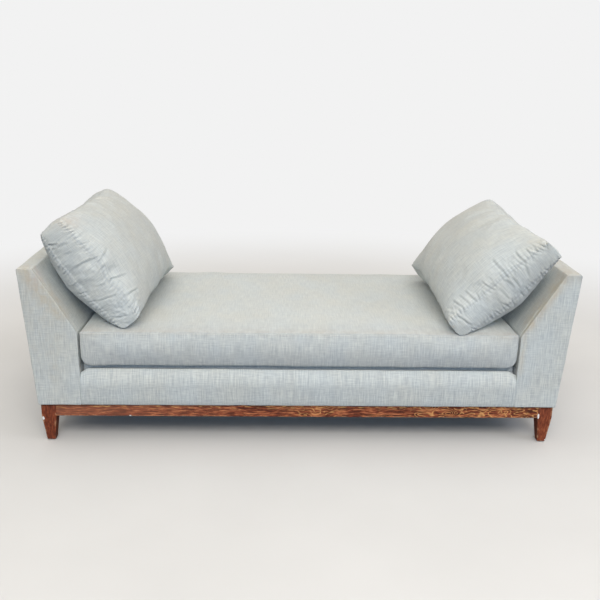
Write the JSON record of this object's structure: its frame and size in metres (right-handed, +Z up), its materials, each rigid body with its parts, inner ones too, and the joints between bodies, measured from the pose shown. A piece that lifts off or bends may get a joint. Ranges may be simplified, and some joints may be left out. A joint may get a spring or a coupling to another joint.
{
  "type": "recamier",
  "caption": "Backless upholstered settee with outward-sloping arms, a loose box seat cushion, loose boxed pillows and a stained wood plinth on tapered legs.",
  "frame": {"origin": "on the floor under the middle of the settee", "axes": "+X along the length, the front looks towards -Y, +Z up"},
  "size_m": [2.1326, 0.9301, 0.9127],
  "materials": {
    "upholstery": "pale grey-green woven cloth with a fine vertical slub",
    "stained_wood": "red-brown stain with a satin lacquer",
    "frame_timber": "bare sawn timber and ply, hidden",
    "black_cloth": "black woven strap and thin dust cloth, hidden",
    "glide_felt": "pressed felt"
  },
  "bodies": {
    "frame": {"arm_board_back_left": "frame_timber", "arm_board_back_right": "frame_timber", "arm_board_front_left": "frame_timber", "arm_board_front_right": "frame_timber", "arm_bottom_rail_left": "frame_timber", "arm_bottom_rail_right": "frame_timber", "arm_facing_back_left": "upholstery", "arm_facing_back_right": "upholstery", "arm_facing_front_left": "upholstery", "arm_facing_front_right": "upholstery", "arm_inner_pad_left": "upholstery", "arm_inner_pad_right": "upholstery", "arm_kink_rail_left": "frame_timber", "arm_kink_rail_right": "frame_timber", "arm_outer_pad_left": "upholstery", "arm_outer_pad_right": "upholstery", "arm_top_rail_left": "frame_timber", "arm_top_rail_right": "frame_timber", "band_back": "upholstery", "band_front": "upholstery", "corner_block_back_left": "frame_timber", "corner_block_back_right": "frame_timber", "corner_block_front_left": "frame_timber", "corner_block_front_right": "frame_timber", "cross_slat_1": "frame_timber", "cross_slat_2": "frame_timber", "cross_slat_3": "frame_timber", "deck_pad": "upholstery", "dust_cover": "black_cloth", "glide_back_left": "glide_felt", "glide_back_right": "glide_felt", "glide_front_left": "glide_felt", "glide_front_right": "glide_felt", "leg_back_left": "stained_wood", "leg_back_right": "stained_wood", "leg_front_left": "stained_wood", "leg_front_right": "stained_wood", "plinth_rail_back": "stained_wood", "plinth_rail_front": "stained_wood", "plinth_rail_left": "stained_wood", "plinth_rail_right": "stained_wood", "seat_rail_back": "frame_timber", "seat_rail_front": "frame_timber", "seat_rail_left": "frame_timber", "seat_rail_right": "frame_timber", "seat_strap_1": "black_cloth", "seat_strap_2": "black_cloth", "seat_strap_3": "black_cloth", "seat_strap_4": "black_cloth", "seat_strap_5": "black_cloth", "seat_strap_6": "black_cloth", "seat_strap_7": "black_cloth", "seat_strap_8": "black_cloth", "seat_strap_9": "black_cloth"},
    "seat_cushion": {"seat_cushion": "upholstery"},
    "pillow_left": {"pillow_left": "upholstery"},
    "pillow_right": {"pillow_right": "upholstery"}
  },
  "joints": [
    {"name": "seat_cushion_lift", "type": "slide", "parent": "frame", "child": "seat_cushion", "axis": [0, 0, 1], "range_m": [0, 0.42]},
    {"name": "pillow_left_lift", "type": "slide", "parent": "seat_cushion", "child": "pillow_left", "axis": [0, 0, 1], "range_m": [0, 0.3]},
    {"name": "pillow_right_lift", "type": "slide", "parent": "seat_cushion", "child": "pillow_right", "axis": [0, 0, 1], "range_m": [0, 0.3]}
  ]
}
